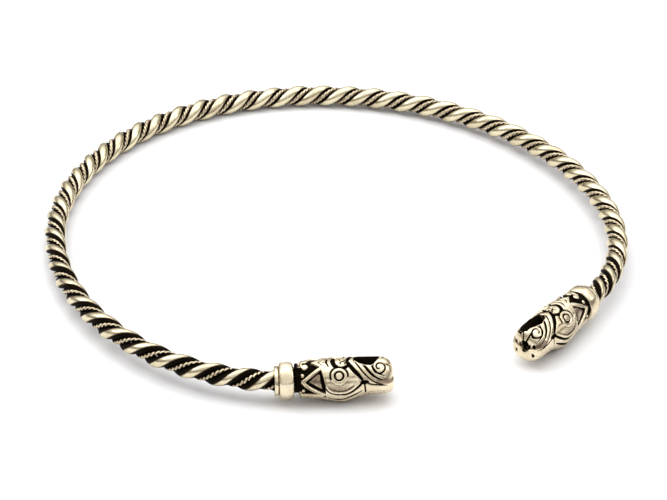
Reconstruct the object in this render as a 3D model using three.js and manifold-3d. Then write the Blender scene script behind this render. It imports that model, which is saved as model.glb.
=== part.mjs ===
// A bronze torc in the Norse manner: a neck ring twisted from two thick wires, with a fine filigree cord laid
// in each of the two grooves between them, and a cast beast's head with its collar on each end.
// Millimetres, +Z up. The ring lies on the surface z = 0, on its two jaws and the back of the rod, and opens
// toward -Y.
import * as THREE from 'three';
import { mergeVertices } from 'three/addons/utils/BufferGeometryUtils.js';
import Module from 'manifold-3d';

const wasm = await Module();
wasm.setup();

// ---- The ring's plan: the rod's centreline from the middle of one collar's bead to the other's ----
const ROD_LENGTH = 380;
const TURN = 315; // degrees that the rod turns through between its ends
const CURVE_2 = -1.38; // second-order and fourth-order swing of the curvature along the rod:
const CURVE_4 = 2.23; // a little flatter at the flanks, tighter toward the ends
const PLAN_STEP = 1;

// ---- The twisted rod ----
const ROD_R = 2.9;
const STRAND_R = 1.31; // one thick wire
const STRAND_ORBIT = ROD_R - STRAND_R;
const STRAND_SIDES = 6;
const STRAND_STEPS = 5.6; // to each full turn of the twist
const CORD_R = 0.52; // one filigree cord, itself two fine wires twisted together
const CORD_ORBIT = 1.8;
const CORD_SIDES = 3;
const CORD_STEPS = 4.8;
// The twist in half turns, as powers of the place along the rod from -1 to 1. It is looser toward the first
// terminal.
const TWIST = [22.133, 26.651, 1.106, -6.507, 0.278, 4.21];
const SEAT_GAP = 1.0; // from the bottom of a socket to the middle of a wire's slanting end

// ---- A terminal, along its own axis from the middle of the collar's bead, forward to the muzzle ----
const SOCKET_R = 3.2;
const SOCKET_BOTTOM = -0.6;
const FLANGE_BACK = -2.95;
const FLANGE_FRONT = -2.05;
const FLANGE_R = 3.8;
const FLANGE_FOOT_R = 3.6; // the narrow step between the flange and the bead
const BEAD_HALF = 1.75;
const BEAD_R = 4.8;
const BEAD_EDGE_R = 4.1;
const BEVEL = 0.1;
const NECK_R = 3.2;
const HEAD_BACK = 3.1;
const HEAD_FRONT = 26.8;
const LATHE_SIDES = 14;
const FIELD_DEPTH = 0.85; // the sunk field behind the eye, round the chevron and the back curl
const FIELD_FRONT = 8.6; // where that field ends, on the crown's side; it leans forward toward the jaw
const FIELD_LEAN = 0.9;
const CORE_R = 1; // stands for the head's own section in the turned profile, until that is put in its place
const STEP = 0.02;
// Stations along the head: distance, then radius over the crown, at the cheeks and under the jaw.
const HEAD_STATIONS = [
  [HEAD_BACK, 4.9, 4.5, 4.3],
  [FIELD_FRONT, 5.3, 4.95, 5.0],
  [11.4, 5.3, 5.25, 5.75],
  [14.2, 5.3, 5.35, 6.2],
  [17.0, 5.3, 5.05, 5.2],
  [19.6, 5.25, 4.75, 4.0],
  [23.6, 4.95, 4.5, 3.8],
  [25.8, 3.9, 3.95, 3.5],
  [HEAD_FRONT, 2.6, 3.0, 2.9],
];
const JAW_STATION = 14.2;
const JAW_FLAT = 0.3; // how much is filed off under each jaw, so that the ring lies still

// ---- The carving: [distance along the head, angle up from the cheek in degrees] ----
const EYE = [12.9, 46];
const EYE_RING_R = 1.6;
const EYE_RING_WIDTH = 0.55;
const EYE_RING_RISE = 0.3;
const PUPIL_R = 0.85;
const PUPIL_RISE = 0.55;
const ALMOND_BACK = [9.5, 24];
const ALMOND_LOW = [12.6, -24];
const ALMOND_POINT = [18.5, 31];
const CHEVRON_APEX = [3.7, 31];
const CHEVRON_TOP = [8.0, 68];
const CHEVRON_FOOT = [9.0, -16];
const CHEVRON_WIDTH = 1.0;
const PLATE = [[7.2, 36], [9.6, 22]];
const PLATE_WIDTH = 2.6;
const PLATE_DROP = 0.35;
const BACK_CURL = [5.2, 92];
const BACK_CURL_R = 1.25;
const BACK_CURL_WIDTH = 0.75;
const BROW_BACK = [[11.2, 112], [11.0, 72], [14.6, 72]];
const BROW_LEAN = [16.2, 66]; // where the dark line from the brow bends down toward the almond's point
const RIBBON_1 = [[15.8, 112], [16.8, 84], [21.2, 26]];
const RIBBON_2 = [[17.2, 100], [18.8, 74], [23.2, 30]];
const LIP = [[20.2, 10], [24.8, 10]];
const MUZZLE_SPIRAL = [23.5, 70];
const SPIRAL_R = 1.65;
const OPENING_BACK = 18.1; // the opening in the crown, behind the muzzle
const OPENING_FRONT = 23.3;
const OPENING_HALF = 1.5;
const OPENING_FLOOR = 1.2;
const CLEFT_BACK = 24.1; // the cleft down the front of the muzzle
const CLEFT_HALF = 0.3;
const CLEFT_FOOT = 0.4;
const MOUTH_R = 1.5;
const MOUTH_TAPER = 1.5;
const MOUTH_DEPTH = 2.0;
const MOUTH_HEIGHT = 0.3; // over the rod's centreline
const MEAN_HEAD_R = 5; // turns an angle round the head into a length, when a curve is drawn on it
const CUT_RISE = 0.7; // how far a cutter stands out of the surface
const ROOT = 0.4; // how deep a raised detail is rooted in the surface

// ---- How each terminal sits on its end of the rod ----
const TERMINALS = [
  { name: 'terminal_left', at: 0, roll: 5, yaw: 1.5 },
  { name: 'terminal_right', at: ROD_LENGTH, roll: 6, yaw: 6 },
];

const rad = THREE.MathUtils.degToRad;

// ---------------------------------------------------------------- the rod's centreline

// Which way the rod heads in plan, in radians from +X, at a distance s from the first collar.
function heading(s) {
  const k = (2 * s) / ROD_LENGTH - 1;
  return -rad(TURN / 2) * (k + (CURVE_2 * (k ** 3 - k)) / 3 + (CURVE_4 * (k ** 5 - k)) / 5);
}

function tangentAt(s) {
  return new THREE.Vector3(Math.cos(heading(s)), Math.sin(heading(s)), 0);
}

// Points on the centreline, one for each PLAN_STEP.
function tracePlan() {
  const points = [new THREE.Vector3()];
  for (let s = 0; s < ROD_LENGTH; s += PLAN_STEP) {
    const step = tangentAt(s + PLAN_STEP / 2).multiplyScalar(PLAN_STEP);
    points.push(points.at(-1).clone().add(step));
  }
  return points;
}

const PLAN = tracePlan();

function centreAt(s) {
  const i = Math.min(Math.floor(s / PLAN_STEP), PLAN.length - 2);
  return PLAN[i].clone().lerp(PLAN[i + 1], s / PLAN_STEP - i);
}

// Away from the ring's middle, square to the rod.
function outwardAt(s) {
  const t = tangentAt(s);
  return new THREE.Vector3(-t.y, t.x, 0);
}

// ---------------------------------------------------------------- the wires

// How far the rod is twisted at s, in half turns.
function twistAt(s) {
  const place = (2 * s) / ROD_LENGTH - 1;
  return TWIST.reduce((sum, factor, power) => sum + factor * place ** power, 0);
}

// A wire that winds left-handed round the rod's centreline at the distance orbit.
class WireCurve extends THREE.Curve {
  constructor(orbit, phase) {
    super();
    this.orbit = orbit;
    this.phase = phase;
    this.arcLengthDivisions = 4000;
  }

  getPoint(t) {
    const inset = -SOCKET_BOTTOM + SEAT_GAP;
    const s = inset + (ROD_LENGTH - 2 * inset) * t;
    const angle = this.phase - Math.PI * twistAt(s);
    return centreAt(s)
      .addScaledVector(outwardAt(s), this.orbit * Math.cos(angle))
      .add(new THREE.Vector3(0, 0, this.orbit * Math.sin(angle)));
  }
}

function roundSection(radius, sides) {
  const corners = Array.from({ length: sides }, (_, i) => {
    const angle = (2 * Math.PI * i) / sides;
    return new THREE.Vector2(radius * Math.cos(angle), radius * Math.sin(angle));
  });
  return new THREE.Shape(corners);
}

function wire(orbit, phase, radius, sides, stepsPerTurn) {
  const turns = (twistAt(ROD_LENGTH) - twistAt(0)) / 2;
  return new THREE.ExtrudeGeometry(roundSection(radius, sides), {
    steps: Math.round(turns * stepsPerTurn),
    extrudePath: new WireCurve(orbit, phase),
  });
}

// ---------------------------------------------------------------- solids: joining and cutting

function toSolid(geometry) {
  const bare = new THREE.BufferGeometry();
  bare.setAttribute('position', geometry.getAttribute('position'));
  if (geometry.index) bare.setIndex(geometry.index);
  const merged = mergeVertices(bare, 1e-4);
  const build = (triVerts) =>
    new wasm.Manifold(
      new wasm.Mesh({ numProp: 3, vertProperties: merged.attributes.position.array, triVerts }),
    );
  const faces = new Uint32Array(merged.index.array);
  const made = build(faces);
  if (made.volume() > 0) return made;
  for (let i = 0; i < faces.length; i += 3) [faces[i + 1], faces[i + 2]] = [faces[i + 2], faces[i + 1]];
  return build(faces);
}

function toGeometry(solid) {
  const mesh = solid.getMesh();
  const geometry = new THREE.BufferGeometry();
  geometry.setAttribute('position', new THREE.BufferAttribute(mesh.vertProperties, 3));
  geometry.setIndex(new THREE.BufferAttribute(mesh.triVerts, 1));
  return geometry;
}

// ---------------------------------------------------------------- the head's surface

// The head's outer radius at x, looking at the angle deg up from the cheek.
function headRadius(x, deg) {
  const last = HEAD_STATIONS.length - 1;
  let i = 0;
  while (i < last - 1 && x > HEAD_STATIONS[i + 1][0]) i += 1;
  const [a, b] = [HEAD_STATIONS[i], HEAD_STATIONS[i + 1]];
  const t = THREE.MathUtils.clamp((x - a[0]) / (b[0] - a[0]), 0, 1);
  const [crown, cheek, jaw] = [1, 2, 3].map((k) => THREE.MathUtils.lerp(a[k], b[k], t));
  const rise = Math.sin(rad(deg));
  return cheek + (rise > 0 ? crown - cheek : jaw - cheek) * rise * rise;
}

function onHead(x, deg, lift) {
  const r = headRadius(x, deg) + lift;
  return new THREE.Vector3(x, r * Math.cos(rad(deg)), r * Math.sin(rad(deg)));
}

// The turned body: socket, flange, bead, neck and the head's blank, then given the head's own section.
function terminalBlank() {
  const head = HEAD_STATIONS.slice(1).map(([x]) => [CORE_R, x]);
  const profile = [
    [0, SOCKET_BOTTOM],
    [SOCKET_R, SOCKET_BOTTOM],
    [SOCKET_R, FLANGE_BACK],
    [FLANGE_R, FLANGE_BACK],
    [FLANGE_R, FLANGE_FRONT],
    [FLANGE_FOOT_R, -BEAD_HALF - BEVEL],
    [BEAD_EDGE_R, -BEAD_HALF + BEVEL],
    [BEAD_R, -BEAD_HALF / 2],
    [BEAD_R, BEAD_HALF / 2],
    [BEAD_EDGE_R, BEAD_HALF - BEVEL],
    [NECK_R, BEAD_HALF],
    [NECK_R, HEAD_BACK],
    [CORE_R, HEAD_BACK],
    [CORE_R, FIELD_FRONT - STEP],
    ...head,
    [0, HEAD_FRONT + BEVEL],
  ];
  const lathe = new THREE.LatheGeometry(
    profile.map(([r, x]) => new THREE.Vector2(r, x)),
    LATHE_SIDES,
  );
  const position = lathe.getAttribute('position');
  for (let i = 0; i < position.count; i += 1) {
    const ring = i % profile.length;
    const [r, along] = profile[ring];
    const side = position.getZ(i);
    const up = position.getX(i);
    if (r !== CORE_R) {
      position.setXYZ(i, along, side, up);
      continue;
    }
    const deg = THREE.MathUtils.radToDeg(Math.atan2(up, side));
    const sunk = along < FIELD_FRONT;
    const onEdge = Math.abs(along - FIELD_FRONT) < 2 * STEP;
    const lean = onEdge ? FIELD_LEAN * (1 - Math.sin(rad(deg))) * 0.5 : 0;
    const radius = headRadius(along + lean, deg) - (sunk ? FIELD_DEPTH : 0);
    position.setXYZ(i, along + lean, radius * Math.cos(rad(deg)), radius * Math.sin(rad(deg)));
  }
  return toSolid(lathe);
}

// ---------------------------------------------------------------- curves drawn on the head

const degOf = (length) => THREE.MathUtils.radToDeg(length / MEAN_HEAD_R);

// A curve from a to c that bends toward b.
function bend(a, b, c, count) {
  const curve = new THREE.QuadraticBezierCurve(
    new THREE.Vector2(...a),
    new THREE.Vector2(...b),
    new THREE.Vector2(...c),
  );
  return curve.getPoints(count).map((p) => [p.x, p.y]);
}

// An arc or a spiral round a centre, from radius r0 to r1, from the angle start through sweep degrees.
function curl([x, deg], r0, r1, start, sweep, count) {
  return Array.from({ length: count + 1 }, (_, i) => {
    const t = i / count;
    const angle = rad(start + sweep * t);
    const r = r0 + (r1 - r0) * t;
    return [x + r * Math.cos(angle), deg + degOf(r * Math.sin(angle))];
  });
}

const otherSide = (path) => path.map(([x, deg]) => [x, 180 - deg]);

// A bar that follows a path on the head. Its section is a list of [offset to the side, height over the
// surface].
function bar(path, section) {
  const corners = [];
  path.forEach(([x, deg], i) => {
    const [x0, deg0] = path[Math.max(i - 1, 0)];
    const [x1, deg1] = path[Math.min(i + 1, path.length - 1)];
    const run = new THREE.Vector2(x1 - x0, rad(deg1 - deg0) * MEAN_HEAD_R).normalize();
    for (const [offset, lift] of section) {
      const p = onHead(x - run.y * offset, deg + degOf(run.x * offset), lift);
      corners.push(p.x, p.y, p.z);
    }
  });
  const n = section.length;
  const faces = [];
  for (let i = 0; i < path.length - 1; i += 1) {
    for (let k = 0; k < n; k += 1) {
      const [a, b] = [i * n + k, i * n + ((k + 1) % n)];
      faces.push(a, b, a + n, b, b + n, a + n);
    }
  }
  const end = (path.length - 1) * n;
  for (let k = 1; k < n - 1; k += 1) {
    faces.push(0, k + 1, k);
    faces.push(end, end + k, end + k + 1);
  }
  const geometry = new THREE.BufferGeometry();
  geometry.setAttribute('position', new THREE.Float32BufferAttribute(corners, 3));
  geometry.setIndex(faces);
  return toSolid(geometry);
}

// A carved line, V-shaped, and a raised band with a flat top.
const groove = (path, width, depth) =>
  bar(path, [
    [-width * 0.75, CUT_RISE],
    [0, -depth],
    [width * 0.75, CUT_RISE],
  ]);
const band = (path, width, foot, top) =>
  bar(path, [
    [-width / 2, foot],
    [width / 2, foot],
    [width * 0.4, top],
    [-width * 0.4, top],
  ]);

// A plug that stands square to the surface: the pupil, and the small holes.
function boss([x, deg], radius, foot, top, sides) {
  const ring = (r, lift) => {
    const corners = curl([x, deg], r, r, 0, 360, sides).slice(0, sides);
    return corners.map((p) => onHead(...p, lift));
  };
  const tips = [onHead(x, deg, top), onHead(x, deg, foot)];
  const points = [...ring(radius, foot), ...ring(radius * 0.9, top * 0.5), ...tips];
  const faces = [];
  for (let i = 0; i < sides; i += 1) {
    const j = (i + 1) % sides;
    faces.push(i, j, sides + i, j, sides + j, sides + i);
    faces.push(sides + i, sides + j, 2 * sides);
    faces.push(j, i, 2 * sides + 1);
  }
  const geometry = new THREE.BufferGeometry().setFromPoints(points);
  geometry.setIndex(faces);
  return toSolid(geometry);
}

// ---------------------------------------------------------------- the carving on one side of the head

// What is raised: the chevron and its plate, the back curl, the eye's ring and pupil.
function raisedOn(side) {
  const floor = -FIELD_DEPTH - ROOT;
  const ring = curl(EYE, EYE_RING_R, EYE_RING_R, 20, 359.5, 8);
  const backCurl = curl(BACK_CURL, BACK_CURL_R, BACK_CURL_R * 0.8, 170, 250, 5);
  return [
    band(side([CHEVRON_TOP, CHEVRON_APEX]), CHEVRON_WIDTH, floor, 0),
    band(side([CHEVRON_APEX, CHEVRON_FOOT]), CHEVRON_WIDTH, floor, 0),
    band(side(PLATE), PLATE_WIDTH, floor, -PLATE_DROP),
    band(side(backCurl), BACK_CURL_WIDTH, floor, 0),
    band(side(ring), EYE_RING_WIDTH, -ROOT, EYE_RING_RISE),
    boss(side([EYE])[0], PUPIL_R, -ROOT, PUPIL_RISE, 6),
  ];
}

// What is cut: the lines round the brow curl, between the ribbons, round the almond and along the lip, and
// the spiral.
function cutOn(side) {
  const brow = [...bend(...BROW_BACK, 3), ...bend(BROW_BACK[2], BROW_LEAN, ALMOND_POINT, 2).slice(1)];
  const spiral = curl(MUZZLE_SPIRAL, SPIRAL_R * 1.1, SPIRAL_R * 0.35, 130, 380, 6);
  return [
    groove(side(brow), 0.95, 0.8),
    groove(side(bend(...RIBBON_1, 3)), 0.45, 0.5),
    groove(side(bend(...RIBBON_2, 3)), 0.9, 0.7),
    groove(side(bend(ALMOND_POINT, ...LIP, 2)), 0.7, 0.7),
    groove(side(bend(ALMOND_BACK, ALMOND_LOW, ALMOND_POINT, 4)), 0.6, 0.6),
    groove(side(spiral), 0.5, 0.55),
  ];
}

// A box between two corners, as a solid.
function block([x0, y0, z0], [x1, y1, z1]) {
  const geometry = new THREE.BoxGeometry(x1 - x0, y1 - y0, z1 - z0);
  geometry.translate((x0 + x1) / 2, (y0 + y1) / 2, (z0 + z1) / 2);
  return toSolid(geometry);
}

// The opening in the crown, the cleft down the front of the muzzle, and the mouth.
function openingsCut() {
  const over = HEAD_STATIONS[0][1] + 2; // clear of the crown
  const mouth = new THREE.CylinderGeometry(MOUTH_R, MOUTH_R / MOUTH_TAPER, MOUTH_DEPTH + CUT_RISE, 7);
  mouth.rotateZ(-Math.PI / 2);
  mouth.translate(HEAD_FRONT + (CUT_RISE - MOUTH_DEPTH) / 2, 0, MOUTH_HEIGHT);
  return [
    block([OPENING_BACK, -OPENING_HALF, OPENING_FLOOR], [OPENING_FRONT, OPENING_HALF, over]),
    block([CLEFT_BACK, -CLEFT_HALF, CLEFT_FOOT], [HEAD_FRONT + CUT_RISE, CLEFT_HALF, over]),
    toSolid(mouth),
  ];
}

function carvedTerminal() {
  const sides = [(path) => path, otherSide];
  let solid = terminalBlank();
  for (const side of sides) {
    for (const cut of cutOn(side)) solid = solid.subtract(cut);
    for (const raised of raisedOn(side)) solid = solid.add(raised);
  }
  for (const cut of openingsCut()) solid = solid.subtract(cut);
  return solid;
}

// ---------------------------------------------------------------- how the ring lies

// The ring leans on its jaws, which are deeper than the rod, so its plane rises a little toward the opening.
const jawRadius = headRadius(JAW_STATION, -90) - JAW_FLAT;
const reach = centreAt(ROD_LENGTH / 2).y - centreAt(0).y + JAW_STATION * -tangentAt(ROD_LENGTH).y;
const LIE_ANGLE = Math.asin((jawRadius - ROD_R) / reach);

// The place of a terminal in the ring's own plane. It is turned a little where it sits in its socket.
function terminalMatrix({ at, roll, yaw }) {
  const forward = tangentAt(at).multiplyScalar(at === 0 ? -1 : 1);
  const angle = Math.atan2(forward.y, forward.x);
  const matrix = new THREE.Matrix4().makeTranslation(centreAt(at));
  matrix.multiply(new THREE.Matrix4().makeRotationZ(angle + rad(yaw)));
  matrix.multiply(new THREE.Matrix4().makeRotationX(rad(roll)));
  return matrix;
}

// ---------------------------------------------------------------- materials and the scene

const bronze = new THREE.MeshStandardMaterial({ color: 0xc9b083, roughness: 0.32, metalness: 1 });
const castBronze = new THREE.MeshStandardMaterial({ color: 0xb89d70, roughness: 0.38, metalness: 1 });
const darkenedBronze = new THREE.MeshStandardMaterial({ color: 0x6b5940, roughness: 0.5, metalness: 1 });

const ring = new THREE.Group();
ring.rotation.x = -LIE_ANGLE;

function addPiece(name, geometry, material) {
  const mesh = new THREE.Mesh(geometry, material);
  mesh.name = name;
  ring.add(mesh);
  return mesh;
}

for (const [i, phase] of [0, Math.PI].entries()) {
  const strand = wire(STRAND_ORBIT, phase, STRAND_R, STRAND_SIDES, STRAND_STEPS);
  const cord = wire(CORD_ORBIT, phase + Math.PI / 2, CORD_R, CORD_SIDES, CORD_STEPS);
  addPiece(`strand_${i + 1}`, strand, bronze);
  addPiece(`filigree_cord_${i + 1}`, cord, darkenedBronze);
}

// Each terminal is filed flat where it meets the surface that the ring lies on.
const back = centreAt(ROD_LENGTH / 2);
const backHeight = new THREE.Vector3(back.x, back.y, 0).applyEuler(ring.rotation).z;
ring.position.z = ROD_R * Math.cos(LIE_ANGLE) - backHeight;
ring.updateMatrixWorld(true);
const carved = carvedTerminal();
for (const terminal of TERMINALS) {
  const place = terminalMatrix(terminal);
  const world = ring.matrixWorld.clone().multiply(place);
  const below = new THREE.BoxGeometry(2 * HEAD_FRONT, 2 * HEAD_FRONT, HEAD_FRONT);
  below.translate(0, 0, -HEAD_FRONT / 2);
  const spot = new THREE.Vector3().setFromMatrixPosition(world);
  below.translate(spot.x, spot.y, 0).applyMatrix4(world.clone().invert());
  const mesh = addPiece(terminal.name, toGeometry(carved.subtract(toSolid(below))), castBronze);
  mesh.applyMatrix4(place);
}

// The origin is under the middle of the whole ring, on the surface.
const torc = new THREE.Group();
torc.add(ring);
const box = new THREE.Box3().setFromObject(torc, true);
const middle = box.getCenter(new THREE.Vector3());
torc.position.set(-middle.x, -middle.y, -box.min.z);

export default torc;
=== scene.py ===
import math

import bpy
import numpy as np
from mathutils import Matrix, Vector


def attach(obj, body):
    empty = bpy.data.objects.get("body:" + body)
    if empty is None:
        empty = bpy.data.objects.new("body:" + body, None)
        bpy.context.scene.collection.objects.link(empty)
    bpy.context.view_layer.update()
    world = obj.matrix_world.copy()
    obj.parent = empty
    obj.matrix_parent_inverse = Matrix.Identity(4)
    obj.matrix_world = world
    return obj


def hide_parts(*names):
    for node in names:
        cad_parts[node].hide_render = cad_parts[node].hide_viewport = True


# The looks of a twisted bronze torc with a cast beast's head on each end. Lengths here are in millimetres,
# as in the part's source, and every mesh is turned into metres when it is made.

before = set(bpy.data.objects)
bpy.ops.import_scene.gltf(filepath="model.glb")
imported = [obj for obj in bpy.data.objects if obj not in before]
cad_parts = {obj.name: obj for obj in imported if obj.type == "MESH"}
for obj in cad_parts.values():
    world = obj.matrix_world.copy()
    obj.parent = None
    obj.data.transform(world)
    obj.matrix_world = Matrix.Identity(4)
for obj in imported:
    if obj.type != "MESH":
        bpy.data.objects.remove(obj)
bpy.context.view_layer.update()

MM = 0.001

# ---------------------------------------------------------------- the ring's plan, as in the part's source
ROD_LENGTH = 380.0
ROD_R = 2.9
TURN = math.radians(315)  # how far the rod turns from one end to the other
CURVE_2 = -1.38  # how its bend varies, as the second and fourth powers of the place along it
CURVE_4 = 2.23
# Half turns of the wires, as the coefficients of a polynomial in the place along the rod, from -1 to 1.
TWIST = (22.133, 26.651, 1.106, -6.507, 0.278, 4.21)
PLAN_STEP = 0.25
JAW_STATION = 14.2  # where each head rests on its jaw, and the jaw's radius and flat there
JAW_R = 6.2
JAW_FLAT = 0.3
FIT_ROUNDS = 12
FIT_SKIP = 8  # plan points left out at each end of the fit
FIT_STRIDE = 2

# ---------------------------------------------------------------- the wires
ROD_END = 1.3  # how far the wires stop short of the rod's ends
STRAND_R = 1.42
STRAND_STEP = 0.4
STRAND_SIDES = 20
FINE_R = 0.34
FINE_ORBIT = 0.36  # from a cord's middle to the middle of its fine wires
FINE_PITCH = 2.5
FINE_STEP = 0.13
FINE_SIDES = 10
CORD_ORBIT = 1.72  # from the rod's middle to a cord's middle
ORBIT_WOBBLE = 0.03  # unevenness of the winding, in millimetres and radians
PHASE_WOBBLE = 0.05
RADIUS_WOBBLE = 0.02
CORD_WOBBLE = 0.04
# Wavelength over 2 pi, phase factor and share of the waves that make up the unevenness.
WOBBLE_WAVES = ((11.3, 1.0, 0.5), (5.1, 2.3, 0.3), (2.7, 4.1, 0.2))
WOBBLE_PHASE = 1.7
DEPTH_STRIDE = 4  # every so many plan points are searched, for so many points of a wire at a time
DEPTH_BLOCK = 20000

# Where the black is rubbed off, as shares of the rod's length: it fades out over the first pair and comes
# back over the second.
RUBBED_FROM = (0.22, 0.36)
RUBBED_TO = (0.9, 0.97)
# How far from the rod's middle a thick wire is black, and from where it is bright, and how much less each
# is where the black is rubbed off.
BLACK_TO, BLACK_RUBBED = 2.66, 0.42
BRIGHT_FROM, BRIGHT_RUBBED = 2.8, 0.38
UNDER_SHADE = 0.56  # painted shade on the thick wires' lower flanks, and how far down it starts and is full
UNDER_FROM, UNDER_TO = 0.25, 0.85
CREST = (0.52, 0.72)  # how far out a fine wire has to turn, and a point on it to face, before it is bright
FACING = (0.25, 0.55)
FACING_RUBBED = (0.1, 0.5)
FINE_RUBBED = 0.5  # how much of a fine wire's black comes off where it is rubbed

# ---------------------------------------------------------------- the terminals
HEAD_BACK = 3.1
HEAD_FRONT = 26.8
ROUND_START = 23.0  # where the muzzle begins to round off
SOCKET = [(-0.6, 0.0), (-0.6, 2.9)]  # profiles as (distance along, radius)
FLANGE = [(-2.95, 2.95), (-2.95, 3.6), (-2.85, 3.78), (-2.2, 3.84), (-2.05, 3.75), (-1.95, 3.5)]
STEP = [(-1.85, 3.5), (-1.8, 3.95)]
NECK = [(1.8, 3.7), (1.85, 3.25), (2.2, 3.15), (2.9, 3.15), (3.05, 3.2), (3.1, 3.6)]
BEAD_HALF = 1.78
BEAD_FOOT_R = 4.05
BEAD_RISE = 0.78
BEAD_ROUND = 0.8
BEAD_SWEEP = 1.45
BEAD_ROWS = 22
BEAD_FACETS = 9
BEAD_FLATTEN = 0.4
BEAD_TURN = 7  # degrees that the facets are turned by
REAR_EDGE = [0.80, 0.88, 0.93, 0.965, 0.985]  # the head's first rows are drawn in, to round its rear edge
HEAD_COLUMNS = 300
HEAD_ROWS = 205
ROUND_ROWS = 61
STATION_X = np.array([3.1, 6.0, 9.0, 11.5, 14.2, 16.5, 18.0, 19.6, 21.5, 23.6])
CROWN_R = np.array([4.9, 5.25, 5.3, 5.3, 5.3, 5.3, 5.3, 5.3, 5.25, 5.15])
CHEEK_R = np.array([4.5, 4.8, 5.0, 5.25, 5.35, 5.15, 4.95, 4.75, 4.65, 4.6])
JAW_RS = np.array([4.3, 4.6, 5.1, 5.85, 6.3, 5.5, 4.75, 4.2, 4.05, 4.0])
STATION_EASE = 1.2
ARC = math.radians(1) * 5.0  # millimetres along the head's surface to a degree round it
EYE = (12.9, 43.5)  # (distance along the head, degrees up from the cheek), as for every place on the head
SPIRAL = (23.0, 65.0)
SPIRAL_TURN = (150, 180, 270, 360, 450, 540, 620)  # degrees round the spiral, and its radius there
SPIRAL_R = (1.7, 1.6, 1.6, 1.5, 1.15, 0.7, 0.4)
OPENING_DEPTH = 3.0
CLEFT_DEPTH = 0.7
MOUTH_DEPTH = 2.2
HOLE_DEPTH = 1.0
MOUTH_Z = 0.9
HOLES = ((MOUTH_Z + 0.3, 2.65, 0.42, 0.6), (MOUTH_Z - 2.2, 2.5, 0.42, 0.65))  # height, place across, half sizes
STRETCH_FROM = 13.0
FLANK_MEET = 6  # degrees each side of the crown's middle over which the two flanks meet
# Brown patina, also used as painted shade and painted reflection.
SHADE_AND_PATINA_BROWN = 0.45
CASTING_SEED = 7
CASTING_ROUGH = 0.012
CASTING_BLUR = 5  # grid rows and columns
HOLLOW_BLUR = (7, 9)

# Each head's place along the rod, its roll and yaw, how far the carving in front of STRETCH_FROM is drawn
# out, and how far all of it is turned round the head. The opening in the crown is seen from one flank, and is
# given by stations, and at each the distance of its near and far edge from the crown's middle line.
HEADS = (
    {
        "node": "terminal_left",
        "name": "beast_head_left",
        "at": 0.0,
        "roll": 5.0,
        "yaw": 1.5,
        "stretch": 1.0,
        "turned_by": 0.0,
        "flank": -1,
        "opening": (16.8, 18.0, 19.6, 20.9, 21.7, 22.7, 23.3),
        "near": (-0.6, 0.6, 1.15, 1.3, 0.9, -0.6, -1.9),
        "far": (0.9, 1.8, 2.3, 2.5, 2.5, 2.2, 1.7),
    },
    {
        "node": "terminal_right",
        "name": "beast_head_right",
        "at": ROD_LENGTH,
        "roll": 6.0,
        "yaw": 6.0,
        "stretch": 1.12,
        "turned_by": 6.0,
        "flank": 1,
        "opening": (17.0, 17.8, 20.0, 21.9, 24.0),
        "near": (-0.6, 0.35, 0.9, 0.4, -0.5),
        "far": (1.0, 1.8, 2.7, 2.7, 2.0),
    },
)

# ---------------------------------------------------------------- colours, light and camera
BLACK = (0.010, 0.007, 0.004)
BROWN = (0.27, 0.205, 0.145)
FLOOR_COLOUR = (0.86, 0.86, 0.87)
FLOOR_HALF = 3.0  # metres
SKY = ((0.0, (0.07, 0.055, 0.05)), (0.24, (0.30, 0.27, 0.25)), (0.5, (1.0, 1.0, 1.0)))  # (height, colour)
LIGHTS = (  # name, distance in metres, azimuth, elevation, size in metres, power in watts
    ("overhead", 1.0, 150, 80, 1.3, 7.0),
    ("back_left", 0.9, -120, 45, 0.4, 2.0),
    ("front_right", 1.0, 60, 35, 0.3, 1.0),
)
CAMERA_AZIMUTH = -25.75
CAMERA_ELEVATION = 30.8
CAMERA_DISTANCE = 950.0
CAMERA_LENS = 193.9
CAMERA_SENSOR = 36.0
CAMERA_CLIP = (0.01, 20.0)  # metres
LOOK_AT = (-2.0, -81.9, -2.45)  # from the middle of the ring's back, in its plane


# ---------------------------------------------------------------- the rod's plan
def heading(s):
    k = 2 * s / ROD_LENGTH - 1
    return -TURN / 2 * (k + CURVE_2 * (k**3 - k) / 3 + CURVE_4 * (k**5 - k) / 5)


PLAN_S = np.arange(0, ROD_LENGTH + PLAN_STEP / 2, PLAN_STEP)
step_heading = heading(PLAN_S[:-1] + PLAN_STEP / 2)
PLAN_X = np.concatenate([[0], np.cumsum(np.cos(step_heading)) * PLAN_STEP])
PLAN_Y = np.concatenate([[0], np.cumsum(np.sin(step_heading)) * PLAN_STEP])


def rod_frame(s):
    """Centre, forward and outward directions at the distances s along the rod."""
    h = heading(s)
    zero = np.zeros_like(s)
    centre = np.stack([np.interp(s, PLAN_S, PLAN_X), np.interp(s, PLAN_S, PLAN_Y), zero], -1)
    forward = np.stack([np.cos(h), np.sin(h), zero], -1)
    outward = np.stack([-np.sin(h), np.cos(h), zero], -1)
    return centre, forward, outward


def twist(s):
    u = 2 * s / ROD_LENGTH - 1
    return sum(c * u**i for i, c in enumerate(TWIST))


# ---------------------------------------------------------------- where the ring lies in the row frame
back = rod_frame(np.array([ROD_LENGTH / 2]))[0][0, :2]
reach = back[1] + JAW_STATION * -math.sin(heading(ROD_LENGTH))
LIE = math.asin((JAW_R - JAW_FLAT - ROD_R) / reach)


def plan_offset():
    """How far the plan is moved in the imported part: its centreline is set in the middle of the CAD wires."""
    wires = [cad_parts[name].data.vertices for name in ("strand_1", "strand_2")]
    points = np.array([v.co for vertices in wires for v in vertices])[:, :2] / MM
    line = np.stack([PLAN_X, PLAN_Y * math.cos(LIE)], -1)[FIT_SKIP:-FIT_SKIP:FIT_STRIDE]
    shift = points.mean(0) - line.mean(0)
    for _ in range(FIT_ROUNDS):
        gap = points[:, None, :] - (line + shift)[None, :, :]
        nearest = np.argmin((gap**2).sum(-1), 1)
        shift = shift + gap[np.arange(len(points)), nearest].mean(0)
    return shift


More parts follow.
